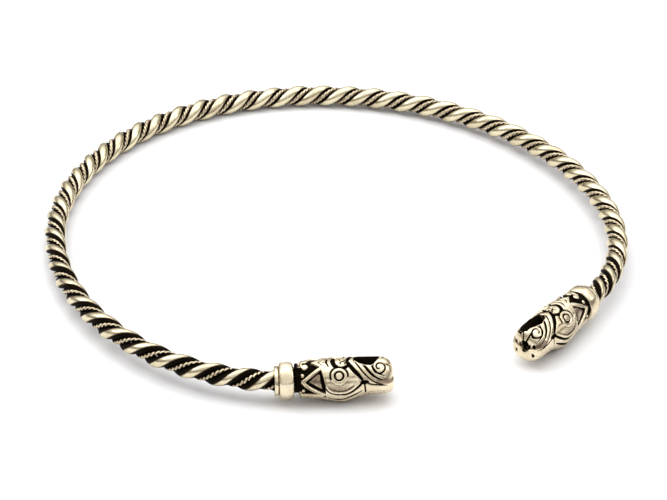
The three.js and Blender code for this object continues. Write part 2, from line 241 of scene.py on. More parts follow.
shift_x, shift_y = plan_offset()
lift = ROD_R * math.cos(LIE) + back[1] * math.sin(LIE)
RING = Matrix.Translation((shift_x, shift_y, lift)) @ Matrix.Rotation(-LIE, 4, "X")


def place(points, matrix):
    turned = np.array(matrix)
    return points @ turned[:3, :3].T + turned[:3, 3]


# ---------------------------------------------------------------- mesh helpers
def smooth(a, b, x):
    t = np.clip((x - a) / (b - a), 0, 1)
    return t * t * (3 - 2 * t)


def make_mesh(name, points_mm, faces, patina_and_shade, material, node):
    """A piece of the scene. The value given for each point is how much patina and painted shade it has, and
    node is the solid it replaces.
    """
    mesh = bpy.data.meshes.new(name)
    mesh.from_pydata((points_mm * MM).tolist(), [], faces)
    mesh.polygons.foreach_set("use_smooth", [True] * len(mesh.polygons))
    layer = mesh.attributes.new("patina_and_shade", "FLOAT", "POINT")
    layer.data.foreach_set("value", patina_and_shade.astype(np.float32))
    mesh.materials.append(material)
    mesh.update()
    obj = bpy.data.objects.new(name, mesh)
    bpy.context.scene.collection.objects.link(obj)
    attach(obj, "root")
    if node:
        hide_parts(node)
    mesh.validate()


def grid_faces(rows, cols):
    """Quads of a grid that is closed round its columns."""
    i = np.arange(rows - 1)[:, None] * cols
    j = np.arange(cols)[None, :]
    k = (j + 1) % cols
    quads = np.stack([i + j, i + k, i + cols + k, i + cols + j], -1)
    return quads.reshape(-1, 4).tolist()


def tube(centres, side, radius, sides):
    """Points and faces of a round wire. side is a direction off it, which sets where its section starts."""
    run = np.gradient(centres, axis=0)
    run /= np.linalg.norm(run, axis=1)[:, None]
    a = side - (side * run).sum(1)[:, None] * run
    a /= np.linalg.norm(a, axis=1)[:, None]
    b = np.cross(run, a)
    turn = np.linspace(0, 2 * math.pi, sides, endpoint=False)
    ring = a[:, None, :] * np.cos(turn)[None, :, None] + b[:, None, :] * np.sin(turn)[None, :, None]
    rows = len(centres)
    points = centres[:, None, :] + ring * np.broadcast_to(radius, (rows,))[:, None, None]
    faces = grid_faces(rows, sides)
    first = rows * sides
    last_ring = first - sides
    for k in range(sides):
        following = (k + 1) % sides
        faces.append([first, following, k])
        faces.append([first + 1, last_ring + k, last_ring + following])
    return np.vstack([points.reshape(-1, 3), centres[:1], centres[-1:]]), faces


def rod_depth(points):
    """Distance of points from the rod's centreline, in the ring's own plane."""
    line_s = PLAN_S[::DEPTH_STRIDE]
    line = np.stack([PLAN_X, PLAN_Y], -1)[::DEPTH_STRIDE]
    out = np.empty(len(points))
    for i in range(0, len(points), DEPTH_BLOCK):
        block = points[i : i + DEPTH_BLOCK]
        gap = block[:, None, :2] - line[None]
        s = line_s[np.argmin((gap**2).sum(-1), 1)]
        centre, forward, _ = rod_frame(s)
        along = ((block - centre) * forward).sum(1)
        centre, _, outward = rod_frame(np.clip(s + along, 0, ROD_LENGTH))
        off = block - centre
        out[i : i + DEPTH_BLOCK] = np.hypot((off * outward).sum(1), off[:, 2])
    return out


# ---------------------------------------------------------------- materials
def node_material(name):
    material = bpy.data.materials.new(name)
    material.use_nodes = True
    material.node_tree.nodes.clear()
    return material, material.node_tree.nodes, material.node_tree.links


def add_node(nodes, kind, values):
    node = nodes.new(kind)
    for key, value in values.items():
        node.inputs[key].default_value = value
    return node


def colour_mix(nodes, links, factor, first, second):
    """A mix of two colours, each either a socket or three numbers."""
    mix = nodes.new("ShaderNodeMix")
    mix.data_type = "RGBA"
    links.new(factor, mix.inputs[0])
    for index, colour in ((6, first), (7, second)):
        if isinstance(colour, tuple):
            mix.inputs[index].default_value = (*colour, 1)
        else:
            links.new(colour, mix.inputs[index])
    return mix.outputs[2]


def patina_stage(nodes, links, patina_and_shade, start, end):
    stage = add_node(nodes, "ShaderNodeMapRange", {"From Min": start, "From Max": end})
    stage.interpolation_type = "SMOOTHSTEP"
    links.new(patina_and_shade, stage.inputs["Value"])
    return stage.outputs[0]


def bronze(name, bright, warm, rough, scratch_scale, scratch_depth, blotch_scale):
    """Polished pale bronze, blackened where the mesh says so, with soft tarnish and fine scratches."""
    material, nodes, links = node_material(name)
    out = nodes.new("ShaderNodeOutputMaterial")
    shader = add_node(nodes, "ShaderNodeBsdfPrincipled", {"Specular IOR Level": 0.5, "Metallic": 1.0})
    links.new(shader.outputs[0], out.inputs[0])
    coords = nodes.new("ShaderNodeTexCoord")
    blotch = add_node(nodes, "ShaderNodeTexNoise", {"Scale": blotch_scale, "Detail": 5, "Roughness": 0.6})
    fine = add_node(nodes, "ShaderNodeTexNoise", {"Scale": scratch_scale, "Detail": 3})
    for noise in (blotch, fine):
        links.new(coords.outputs["Object"], noise.inputs["Vector"])

    # Tarnish in soft blotches.
    tarnish = add_node(nodes, "ShaderNodeMapRange", {"From Min": 0.42, "From Max": 0.72})
    links.new(blotch.outputs["Fac"], tarnish.inputs["Value"])
    metal = colour_mix(nodes, links, tarnish.outputs[0], bright, warm)

    # The patina and the painted shade go from brown to black, and their edge is uneven.
    patina_and_shade = nodes.new("ShaderNodeAttribute")
    patina_and_shade.attribute_name = "patina_and_shade"
    jitter = nodes.new("ShaderNodeMath")
    jitter.operation = "MULTIPLY_ADD"
    jitter.inputs[1].default_value = 0.26
    jitter.inputs[2].default_value = -0.13
    links.new(fine.outputs["Fac"], jitter.inputs[0])
    uneven = nodes.new("ShaderNodeMath")
    uneven.operation = "ADD"
    links.new(patina_and_shade.outputs["Fac"], uneven.inputs[0])
    links.new(jitter.outputs[0], uneven.inputs[1])
    brown = patina_stage(nodes, links, uneven.outputs[0], 0.3, 0.5)
    black = patina_stage(nodes, links, uneven.outputs[0], 0.6, 0.8)
    browned = colour_mix(nodes, links, brown, metal, BROWN)
    links.new(colour_mix(nodes, links, black, browned, BLACK), shader.inputs["Base Color"])

    # Black is matt, and bright metal is worn more in some places than in others.
    worn = add_node(nodes, "ShaderNodeMapRange", {"To Min": rough * 0.75, "To Max": rough * 1.5})
    links.new(fine.outputs["Fac"], worn.inputs["Value"])
    roughness = nodes.new("ShaderNodeMix")
    links.new(black, roughness.inputs[0])
    links.new(worn.outputs[0], roughness.inputs[2])
    roughness.inputs[3].default_value = 0.75
    links.new(roughness.outputs[0], shader.inputs["Roughness"])

    bump = add_node(nodes, "ShaderNodeBump", {"Strength": 0.35, "Distance": scratch_depth * MM})
    links.new(fine.outputs["Fac"], bump.inputs["Height"])
    links.new(bump.outputs[0], shader.inputs["Normal"])
    return material


wire_bronze = bronze("polished_wire", (0.76, 0.685, 0.47), (0.55, 0.46, 0.30), 0.24, 1800, 0.03, 160)
fine_bronze = bronze("filigree_wire", (0.70, 0.60, 0.42), (0.45, 0.36, 0.22), 0.3, 3000, 0.02, 400)
cast_bronze = bronze("cast_terminal", (0.80, 0.71, 0.52), (0.60, 0.49, 0.31), 0.24, 1500, 0.04, 220)


# ---------------------------------------------------------------- the twisted rod
def wobble(s, seed, size):
    """A slow unevenness along a wire, the same in every run."""
    phase = seed * WOBBLE_PHASE
    return size * sum(np.sin(s / wave + factor * phase) * share for wave, factor, share in WOBBLE_WAVES)


def wire_centres(s, orbit, phase):
    """Points of a helix round the rod, and its directions away from the rod's middle and across the wire."""
    centre, forward, outward = rod_frame(s)
    angle = phase - math.pi * twist(s)
    off = outward * np.cos(angle)[:, None]
    off[:, 2] += np.sin(angle)
    across = np.cross(forward, off)
    return centre + off * np.broadcast_to(orbit, s.shape)[:, None], off, across


def rubbed_share(s):
    """How far the black is rubbed off along the rod: most at the back of the ring."""
    share = s / ROD_LENGTH
    return smooth(*RUBBED_FROM, share) * (1 - smooth(*RUBBED_TO, share))


def build_strand(i, phase):
    s = np.arange(ROD_END, ROD_LENGTH - ROD_END, STRAND_STEP)
    orbit = ROD_R - STRAND_R + wobble(s, i + 1, ORBIT_WOBBLE)
    centres, off, _ = wire_centres(s, orbit, phase + wobble(s, i + 5, PHASE_WOBBLE))
    points, faces = tube(centres, off, STRAND_R + wobble(s, i + 9, RADIUS_WOBBLE), STRAND_SIDES)
    rubbed = rubbed_share(np.append(np.repeat(s, STRAND_SIDES), s[[0, -1]]))
    black_to, bright_from = BLACK_TO - BLACK_RUBBED * rubbed, BRIGHT_FROM - BRIGHT_RUBBED * rubbed
    bright = smooth(black_to, bright_from, rod_depth(points))
    # Painted shade: the wires' lower flanks are painted brown, more towards the bottom.
    down = -(points[:-2].reshape(len(s), STRAND_SIDES, 3) - centres[:, None])[..., 2] / STRAND_R
    under = np.append(UNDER_SHADE * smooth(UNDER_FROM, UNDER_TO, down), [0, 0])
    patina_and_shade = np.maximum(1 - bright, under)
    world = place(points, RING)
    make_mesh(f"thick_wire_{i + 1}", world, faces, patina_and_shade, wire_bronze, f"strand_{i + 1}")


def build_cord(i, phase):
    """The two fine wires of a filigree cord. The first stands in for the cord's solid."""
    s = np.arange(ROD_END, ROD_LENGTH - ROD_END, FINE_STEP)
    axis, off, across = wire_centres(s, CORD_ORBIT, phase + math.pi / 2 + wobble(s, i + 13, CORD_WOBBLE))
    run = np.concatenate([[0], np.cumsum(np.linalg.norm(np.diff(axis, axis=0), axis=1))])
    rubbed = rubbed_share(s)[:, None]
    for k in range(2):
        turn = -2 * math.pi * run / FINE_PITCH + k * math.pi
        side = off * np.cos(turn)[:, None] + across * np.sin(turn)[:, None]
        centres = axis + side * FINE_ORBIT
        points, faces = tube(centres, side, FINE_R, FINE_SIDES)
        from_middle = points[:-2].reshape(len(s), FINE_SIDES, 3) - centres[:, None]
        facing = (from_middle * off[:, None]).sum(-1) / FINE_R
        patina_and_shade = 1 - smooth(*FACING, facing) * smooth(*CREST, np.cos(turn))[:, None]
        patina_and_shade = np.append(np.minimum(patina_and_shade, 1 - FINE_RUBBED * rubbed * smooth(*FACING_RUBBED, facing)), [1, 1])
        node = f"filigree_cord_{i + 1}" if k == 0 else None
        world = place(points, RING)
        make_mesh(f"filigree_wire_{2 * i + k + 1}", world, faces, patina_and_shade, fine_bronze, node)


def build_rod():
    for i, phase in enumerate((0.0, math.pi)):
        build_strand(i, phase)
        build_cord(i, phase)


# ---------------------------------------------------------------- the head's surface before carving
def eased(x, radii):
    """The radius at x from a station table, with the corners between the stations rounded off."""
    steps = np.linspace(-STATION_EASE, STATION_EASE, 9)
    weights = np.cos(steps / STATION_EASE * math.pi / 2) ** 2 + 1e-3
    total = sum(w * np.interp(x + d, STATION_X, radii) for w, d in zip(weights, steps))
    return total / weights.sum()


def blank_radius(x, deg):
    """The head's radius at x, at the angle deg up from the cheek, before the muzzle is rounded off."""
    crown, cheek, jaw = (eased(x, radii) for radii in (CROWN_R, CHEEK_R, JAW_RS))
    rise = np.sin(np.radians(deg))
    return cheek + np.where(rise > 0, crown - cheek, jaw - cheek) * rise * rise


def collar_profile():
    """The socket's bottom, flange, bead and neck, as arrays of distance along and radius."""
    angles = np.linspace(-BEAD_SWEEP, BEAD_SWEEP, BEAD_ROWS)
    bead = [(BEAD_HALF * math.sin(a), BEAD_FOOT_R + BEAD_RISE * math.cos(a) ** BEAD_ROUND) for a in angles]
    return np.array(SOCKET + FLANGE + STEP + bead + NECK).T


def box_blur(a, size, axis, wrap):
    """Running mean of a grid along one axis, done twice."""
    for _ in range(2):
        if wrap:
            padded = np.concatenate([a.take(range(-size, 0), axis), a, a.take(range(size), axis)], axis)
        else:
            first = np.repeat(a.take([0], axis), size, axis)
            last = np.repeat(a.take([-1], axis), size, axis)
            padded = np.concatenate([first, a, last], axis)
        total = np.cumsum(padded, axis)
        zero = np.zeros_like(total.take([0], axis))
        total = np.concatenate([zero, total], axis)
        n = a.shape[axis]
        window = 2 * size + 1
        a = (total.take(range(window, window + n), axis) - total.take(range(n), axis)) / window
    return a


# ---------------------------------------------------------------- curves drawn on the head
def spline(places, per_span=8):
    """A smooth curve through places on the head, as millimetres on its unrolled surface."""
    p = np.array([(x, deg * ARC) for x, deg in places], float)
    p = np.vstack([2 * p[0] - p[1], p, 2 * p[-1] - p[-2]])
    t = np.linspace(0, 1, per_span, endpoint=False)[:, None]
    out = []
    for a, b, c, d in zip(p[:-3], p[1:-2], p[2:-1], p[3:]):
        square, cube = 2 * a - 5 * b + 4 * c - d, 3 * b - a - 3 * c + d
        out.append(0.5 * (2 * b + (c - a) * t + square * t**2 + cube * t**3))
    out.append(p[-2:-1])
    return np.vstack(out)


def arc(centre, r0, r1, start, sweep, count=24):
    """Part of a circle whose radius goes from r0 to r1, as millimetres on the unrolled surface."""
    x, deg = centre
    a = np.radians(start + sweep * np.linspace(0, 1, count))
    r = r0 + (r1 - r0) * np.linspace(0, 1, count)
    return np.stack([x + r * np.cos(a), deg * ARC + r * np.sin(a)], -1)


def inside_polygon(path, x, v):
    inside = np.zeros(x.shape, bool)
    for a, b in zip(path, np.roll(path, -1, axis=0)):
        crosses = (a[1] > v) != (b[1] > v)
        edge = (b[0] - a[0]) * (v - a[1]) / (b[1] - a[1] if b[1] != a[1] else 1e-9) + a[0]
        inside ^= crosses & (x < edge)
    return inside


class Side:
    """One flank of the head, unrolled: x along the head and v round it, both in millimetres.
    height is the relief over the blank's surface, and dark is how much of the black patina is left, with
    painted shade and painted reflection in brown in some places.
    A path is a list of places, which a smooth curve is drawn through, or a curve already in millimetres."""

    def __init__(self, x, deg):
        self.x = x
        self.deg = deg
        self.v = deg * ARC
        self.height = np.zeros_like(x)
        self.dark = np.zeros_like(x)

    def distance(self, path, reach):
        """Distance to a curve, and how far along it the nearest point is, for the points within reach."""
        path = spline(path) if isinstance(path, list) else path
        low, high = path.min(0) - reach, path.max(0) + reach
        inside = (self.x > low[0]) & (self.x < high[0]) & (self.v > low[1]) & (self.v < high[1])
        px, pv = self.x[inside], self.v[inside]
        best = np.full(px.shape, 1e9)
        share = np.zeros(px.shape)
        count = len(path) - 1
        for i in range(count):
            a, b = path[i], path[i + 1]
            d = b - a
            length = max(float(d @ d), 1e-12)
            t = np.clip(((px - a[0]) * d[0] + (pv - a[1]) * d[1]) / length, 0, 1)
            gap = np.hypot(px - a[0] - t * d[0], pv - a[1] - t * d[1])
            closer = gap < best
            best = np.where(closer, gap, best)
            share = np.where(closer, (i + t) / count, share)
        return inside, best, share

    def groove(self, path, width, depth, taper=(1, 1), black=1.0):
        """A carved line of this width, rounded at the bottom. It narrows to taper at its two ends."""
        inside, gap, share = self.distance(path, width * 1.5)
        ends = np.interp(share, [0, 0.3, 0.7, 1], [taper[0], 1, 1, taper[1]])
        half = width * ends / 2
        cut = depth * np.sqrt(ends) * (1 - smooth(0.45 * half, 1.15 * half, gap))
        ground = self.height[inside]
        self.height[inside] = np.minimum(ground, ground * 0.4 - cut * (cut > 0))
        paint = black * (1 - smooth(0.8 * half, 1.12 * half, gap))
        self.dark[inside] = np.maximum(self.dark[inside], paint)

    def ridge(self, path, width, top, round_=0.12):
        """A raised band of this width with a rounded, polished top, at the height top."""
        inside, gap, _ = self.distance(path, width)
        half = width / 2
        crown = top - round_ * (np.minimum(gap / half, 1)) ** 2
        inner = 1 - smooth(half * 0.85, half * 1.15, gap)
        ground = self.height[inside]
        self.height[inside] = np.where(crown > ground, ground + (crown - ground) * inner, ground)
        self.dark[inside] *= smooth(half * 0.82, half * 1.02, gap)

    def dot(self, centre, radius, top):
        """A round bead whose middle stands at the height top."""
        x, deg = centre
        gap = np.hypot(self.x - x, self.v - deg * ARC) / radius
        bead = top - radius * 0.75 * (1 - np.sqrt(np.clip(1 - np.minimum(gap, 1) ** 2, 0, 1)))
        self.height = np.where(gap < 1, np.maximum(self.height, bead), self.height)
        self.dark *= smooth(0.75, 0.95, gap)

    def pit(self, centre, rx, rv, depth):
        x, deg = centre
        gap = np.hypot((self.x - x) / rx, (self.v - deg * ARC) / rv)
        self.height = np.minimum(self.height, -depth * (1 - smooth(0.7, 1.05, gap)))
        self.dark = np.maximum(self.dark, 1 - smooth(0.85, 1.05, gap))


# ---------------------------------------------------------------- the carving of one flank
def carve_field(side):
    """The sunk field behind the eye, with the chevron, its plate, two beads and the back curl."""
    edge = np.interp(side.deg, [-30, 10, 35, 60, 85, 95, 125], [9.3, 9.1, 8.6, 8.0, 7.0, 6.3, 5.6])
    above, below = smooth(-20, -17, side.deg), 1 - smooth(118, 126, side.deg)
    field = above * (1 - smooth(edge - 0.1, edge + 0.25, side.x)) * below
    side.height -= 0.95 * field
    side.dark = np.maximum(side.dark, smooth(0.4, 0.7, field))
    front_edge = [(5.9, 112), (6.5, 95), (7.2, 85), (8.1, 60), (8.7, 35), (9.15, 10), (9.35, -30)]
    side.groove(front_edge, 0.9, 0.95, (0.5, 0.5))
    plate = inside_polygon(spline([(5.35, 29), (7.9, 52), (8.3, 28), (8.7, 3)]), side.x, side.v)
    tilt = -0.5 + 0.12 * (side.x - 5.7) / 2.5
    side.height = np.where(plate, np.maximum(side.height, tilt), side.height)
    # Painted shade: the plate is painted brown.
    side.dark = np.where(plate, SHADE_AND_PATINA_BROWN, side.dark)
    side.ridge([(8.0, 66), (5.9, 48), (3.8, 29)], 0.95, 0.08, 0.2)
    side.ridge([(3.8, 29), (5.2, 12), (7.2, -4), (9.1, -17)], 0.95, 0.08, 0.2)
    side.groove([(4.6, 20), (5.6, 7), (7.3, -6), (8.9, -18)], 0.2, 0.25, (0.6, 1), 0.9)
    side.groove([(4.5, 29), (6.2, 47), (7.7, 59)], 0.16, 0.15, (0.6, 0.6), 0.6)
    side.dot((3.75, 50), 0.6, -0.05)
    side.dot((4.0, -3), 0.5, -0.1)
    side.dot((4.5, 77), 0.95, 0.15)
    side.ridge([(3.65, 80), (3.6, 91), (4.4, 98), (5.6, 97), (6.8, 90), (8.0, 80)], 0.75, 0.12)
    side.groove([(5.6, 83), (5.3, 91), (4.5, 89)], 0.32, 0.4)
    side.ridge([(3.4, 108), (4.8, 112), (6.2, 107), (7.4, 98)], 0.6, 0.05)


def carve_brow(side):
    """The bands over the crown, the brow curl in its crescent, and the dark diagonal down to the mouth."""
    side.groove([(6.5, 124), (7.1, 106), (8.0, 90), (8.8, 78)], 0.36, 0.45, (1, 0.5))
    side.groove([(8.75, 108), (9.0, 98), (9.35, 88)], 0.34, 0.35, (0.5, 0.5), 0.9)
    side.groove([(10.6, 124), (10.0, 104), (9.95, 88), (10.4, 73)], 0.5, 0.6, (1, 0.6))
    crescent = [(12.1, 125), (11.65, 104), (11.6, 86), (12.2, 71), (13.4, 64), (14.6, 68)]
    side.groove(crescent, 1.2, 0.9, (0.9, 0.8))
    side.groove(arc((14.1, 82), 0.75, 0.5, 200, -230), 0.36, 0.5, (0.7, 1))
    diagonal = [(14.9, 95), (15.3, 84), (15.7, 74), (16.5, 60), (17.6, 46), (18.6, 32)]
    side.groove(diagonal, 1.1, 0.85, (0.6, 0.7))
    side.groove([(14.3, 66), (15.1, 72), (15.6, 74)], 0.9, 0.85)


def carve_almond(side):
    """The almond round the eye, lower than the ridge that borders it, and dark outside the ridge."""
    lower = [(8.6, 50), (9.0, 30), (9.6, 10), (10.4, -1), (11.6, -6), (13.2, -8), (14.7, -6), (16.2, 4)]
    lower += [(17.5, 18), (18.3, 28)]
    rear = [(18.3, 28), (17.2, 42), (16.4, 54), (15.3, 66)]
    upper = [(15.3, 66), (13.0, 62), (11.0, 66), (8.6, 50)]
    almond = np.vstack([spline(lower), spline(rear)[1:], spline(upper)[1:]])
    inside = inside_polygon(almond, side.x, side.v)
    _, gap, _ = side.distance(almond, 50)
    gap = gap.reshape(side.x.shape)
    sink = smooth(0.1, 0.7, gap) * (1 - smooth(26, 44, side.deg))
    side.height = np.where(inside, np.minimum(side.height, -0.3 * sink), side.height)
    # Painted reflection: the almond's lower part is painted brown, darker towards its lower border.
    brown = SHADE_AND_PATINA_BROWN * (1 - smooth(4, 40, side.deg))
    side.dark = np.where(inside, np.maximum(side.dark, brown), side.dark)
    outer = [(9.3, 20), (9.9, 3), (11.2, -9), (13.2, -14), (15.2, -11), (17.0, 3), (18.5, 19)]
    side.groove(outer, 0.68, 0.6, (0.6, 1))
    side.groove([(10.2, 16), (11.2, 3), (13.1, -2), (15.0, 2), (16.6, 14)], 0.22, 0.16, (0.3, 0.3), 0.85)
    side.ridge([(9.7, 13), (10.8, -3), (13.1, -8.3), (15.3, -3), (17.2, 13), (18.3, 26)], 0.5, 0.08)


def carve_eye(side):
    """A domed pupil, two rings, a dark line over them, and fine creases below."""
    dx, dv = side.x - EYE[0], side.v - EYE[1] * ARC
    r = np.hypot(dx, dv)
    steps = [0, 0.4, 0.72, 0.86, 1.08, 1.3, 1.42, 1.6, 1.82, 1.98, 2.3]
    tops = [0.42, 0.36, 0.18, -0.35, -0.45, -0.3, 0.14, 0.26, 0.14, -0.02, 0.0]
    side.height = np.where(r < 1.98, np.interp(r, steps, tops), side.height)
    side.dark = np.where(r < 1.98, smooth(0.78, 0.86, r) * (1 - smooth(1.26, 1.36, r)), side.dark)
    around = np.degrees(np.arctan2(dv, dx))
    rear = 1 - smooth(196, 215, around + 360)
    upper = np.where(around < -90, rear, smooth(-30, 10, around))
    rim = np.clip(1 - ((r - 2.2) / 0.28) ** 2, 0, 1) * upper
    side.height = np.minimum(side.height, -0.5 * rim)
    side.dark = np.maximum(side.dark, smooth(0.25, 0.5, rim))
    for radius, strength in ((2.5, 0.75), (2.95, 0.6), (3.4, 0.5)):
        side.groove(arc(EYE, radius, radius, -155, 130), 0.2, 0.12, (0.3, 0.3), strength)


def carve_muzzle(side):
    """The ribbons from the crown to the corner of the mouth, the spiral, and a painted reflection in brown
    below it.
    """
    long_ribbon = [(16.2, 124), (16.8, 93), (18.3, 61), (20.3, 34), (22.1, 19), (23.8, 10)]
    side.groove(long_ribbon, 0.42, 0.45, (1, 0.5))
    side.groove([(17.3, 122), (18.3, 92), (19.75, 63), (21.5, 40), (23.6, 26)], 0.68, 0.7, (1, 0.5))
    side.groove([(20.7, 84), (21.2, 68), (22.4, 49), (24.2, 39)], 0.45, 0.6, (0.9, 0.5))
    side.groove([(19.3, 23), (20.8, 14), (22.6, 10), (24.8, 8)], 0.48, 0.45, (1, 0.3))
    turn = np.linspace(SPIRAL_TURN[0], SPIRAL_TURN[-1], 50)
    radius = np.interp(turn, SPIRAL_TURN, SPIRAL_R)
    swirl = np.radians(turn)
    spiral = np.stack([SPIRAL[0] + radius * np.cos(swirl), SPIRAL[1] * ARC + radius * np.sin(swirl)], -1)
    side.groove(spiral, 0.46, 0.6, (1, 0.8))
    # Painted reflection: a dark reflection is painted brown below the spiral.
    brown = smooth(20.6, 22.5, side.x) * smooth(9, 14, side.deg) * (1 - smooth(26, 42, side.deg))
    side.dark = np.maximum(side.dark, 0.5 * brown)


def carve_jaw(side):
    """The corner of the mouth, the lower jaw's bar, and the cheek's bands."""
    side.pit((19.2, 22), 1.15, 0.65, 0.8)
    side.groove([(19.2, 20), (19.35, 2), (19.5, -17)], 0.4, 0.6, (1, 0.6))
    side.groove([(19.5, -17), (22.0, -18), (25.0, -18)], 0.35, 0.3, (1, 0.4), 0.8)
    cheek_band = [(9.7, -28), (11.6, -36), (13.6, -36), (15.6, -28), (17.2, -17), (18.6, -6)]
    side.groove(cheek_band, 0.8, 0.6, (0.5, 0.3))
    side.groove([(10.6, -45), (12.2, -50), (13.8, -50), (15.6, -43)], 0.4, 0.4, (0.4, 0.4), 0.95)


def carve_side(x, deg):
    """All the carving of one flank, from the collar to the muzzle. A later cut lies over an earlier one."""
    side = Side(x, deg)
    for carve in (carve_field, carve_brow, carve_almond, carve_eye, carve_muzzle, carve_jaw):
        carve(side)
    return side


# ---------------------------------------------------------------- the openings of the crown and the muzzle
def carve_opening(x, y, z, height, dark, look):
    """The deep opening in the crown. The carving fades out round it, and its walls and far rim are painted
    black as shade.
    """
    seen = look["flank"] * y
    stations = look["opening"]
    near_edge = np.interp(x, stations, look["near"])
    far_edge = -np.interp(x, stations, look["far"])
    rear, front = smooth(stations[0] - 0.1, stations[0] + 0.2, x), smooth(stations[-1], stations[-1] + 0.3, x)
    ends = rear * (1 - front) * (z > 0)
    near_rim = 1 - smooth(near_edge + 0.45, near_edge + 0.65, seen)
    rim = ends * smooth(far_edge - 0.8, far_edge - 0.5, seen) * near_rim
    height = height * (1 - rim)
    # Painted shade: the far rim is painted black.
    dark = np.maximum(dark * (1 - rim), rim * (1 - smooth(far_edge - 0.1, far_edge + 0.3, seen)))
    near_wall = 1 - smooth(near_edge - 0.1, near_edge + 0.4, seen)
    recess = ends * smooth(far_edge - 0.4, far_edge + 0.1, seen) * near_wall
    height = height * (1 - recess) - OPENING_DEPTH * recess
    # Painted shade: the opening's walls are painted black.
    dark = np.maximum(dark, 0.75 * smooth(0.02, 0.12, recess) + 0.25 * smooth(0.7, 0.95, recess))
    return height, dark


def carve_front(x, y, z, height, dark):
    """The muzzle's front: a cleft of two lines that run together, the mouth, and two holes beside it, all
    painted dark inside as shade.
    """
    front = smooth(23.7, 24.3, x)
    across = np.abs(y)
    spread = 0.3 + 0.34 * np.clip(z - 1.9, 0, 3)
    cleft = (1 - smooth(0.17, 0.32, np.abs(across - spread))) * front * smooth(1.0, 1.5, z)
    jag = 0.2 * np.sin(across * 6.0)
    tall = np.abs(z - MOUTH_Z) + 0.45 * across + jag
    mouth = (1 - smooth(1.45, 1.65, across + jag)) * (1 - smooth(1.25, 1.45, tall)) * front
    height = np.minimum(height, -CLEFT_DEPTH * cleft)
    height = np.minimum(height, -MOUTH_DEPTH * mouth)
    # Painted shade: the cleft and the mouth are painted dark.
    dark = np.max([dark, smooth(0.2, 0.6, cleft), smooth(0.15, 0.45, mouth)], axis=0)
    for zc, yc, ry, rz in HOLES:
        gap = np.hypot((across - yc) / ry, (z - zc) / rz)
        hole = (1 - smooth(0.75, 1.1, gap)) * smooth(24.6, 25.2, x)
        height = np.minimum(height, -HOLE_DEPTH * hole)
        # Painted shade: each hole is painted dark.
        dark = np.maximum(dark, smooth(0.15, 0.45, hole))
    return height, dark


# ---------------------------------------------------------------- the terminals
def blank_grid(deg, collar_x, collar_r):
    """Distance along and radius for each row and column of the terminal, from socket to muzzle."""
    cols = len(deg)
    head_x = np.linspace(HEAD_BACK + 0.02, ROUND_START, HEAD_ROWS)[:, None]
    angle = np.linspace(0, math.pi / 2, ROUND_ROWS + 1)[1:]
    square = np.interp(np.sin(np.radians(deg)), [-1, -0.3, 0.4, 1], [5.0, 4.0, 2.9, 2.9])
    base = blank_radius(np.full(cols, ROUND_START), deg)
    round_x = [ROUND_START + (HEAD_FRONT - ROUND_START) * math.sin(a) ** (2 / square) for a in angle]
    round_r = [base * np.maximum(math.cos(a), 0) ** (2 / square) for a in angle]
    X = np.vstack([np.repeat(collar_x[:, None], cols, 1), np.repeat(head_x, cols, 1), round_x])
    R = np.vstack([np.repeat(collar_r[:, None], cols, 1), blank_radius(head_x, deg[None, :]), round_r])
    R[-1] = 0.0

    facet = 360 / BEAD_FACETS
    from_middle = np.mod(deg + BEAD_TURN, facet) - facet / 2
    flat = math.cos(math.radians(facet / 2)) / np.cos(np.radians(from_middle))
    turned = len(collar_x)
    on_bead = (np.abs(collar_x) <= BEAD_HALF) & (collar_r > BEAD_FOOT_R)
    R[:turned][on_bead] *= 1 - BEAD_FLATTEN * (1 - flat / flat.max())
    R[turned : turned + len(REAR_EDGE)] *= np.array(REAR_EDGE)[:, None]
    return X, R


def carve_head(X, R, D, look):
    """Relief and patina over the head's part of the grid. Its flanks meet over the crown's middle line."""
    laid_x = np.where(X < STRETCH_FROM, X, STRETCH_FROM + (X - STRETCH_FROM) / look["stretch"])
    laid_deg = D + look["turned_by"]
    one = carve_side(laid_x, laid_deg)
    two = carve_side(laid_x, 180 - laid_deg)
    weight = smooth(-FLANK_MEET, FLANK_MEET, 90 - laid_deg)
    relief = one.height * weight + two.height * (1 - weight)
    patina = one.dark * weight + two.dark * (1 - weight)
    y, z = R * np.cos(np.radians(laid_deg)), R * np.sin(np.radians(laid_deg))
    relief, patina = carve_opening(laid_x, y, z, relief, patina, look)
    return carve_front(laid_x, y, z, relief, patina)


def surface_normals(points, D):
    """Directions out of the surface at each point of the grid."""
    zero = np.zeros_like(D)
    round_ = np.stack([zero, -np.sin(np.radians(D)), np.cos(np.radians(D))], -1)
    normal = np.cross(round_, np.gradient(points, axis=0))
    normal = normal / np.maximum(np.linalg.norm(normal, axis=-1, keepdims=True), 1e-9)
    outward = np.stack([zero + 0.3, np.cos(np.radians(D)), np.sin(np.radians(D))], -1)
    flip = np.sign((normal * outward).sum(-1, keepdims=True))
    normal = normal * np.where(flip == 0, 1, flip)
    normal[-1] = (1.0, 0, 0)
    return normal


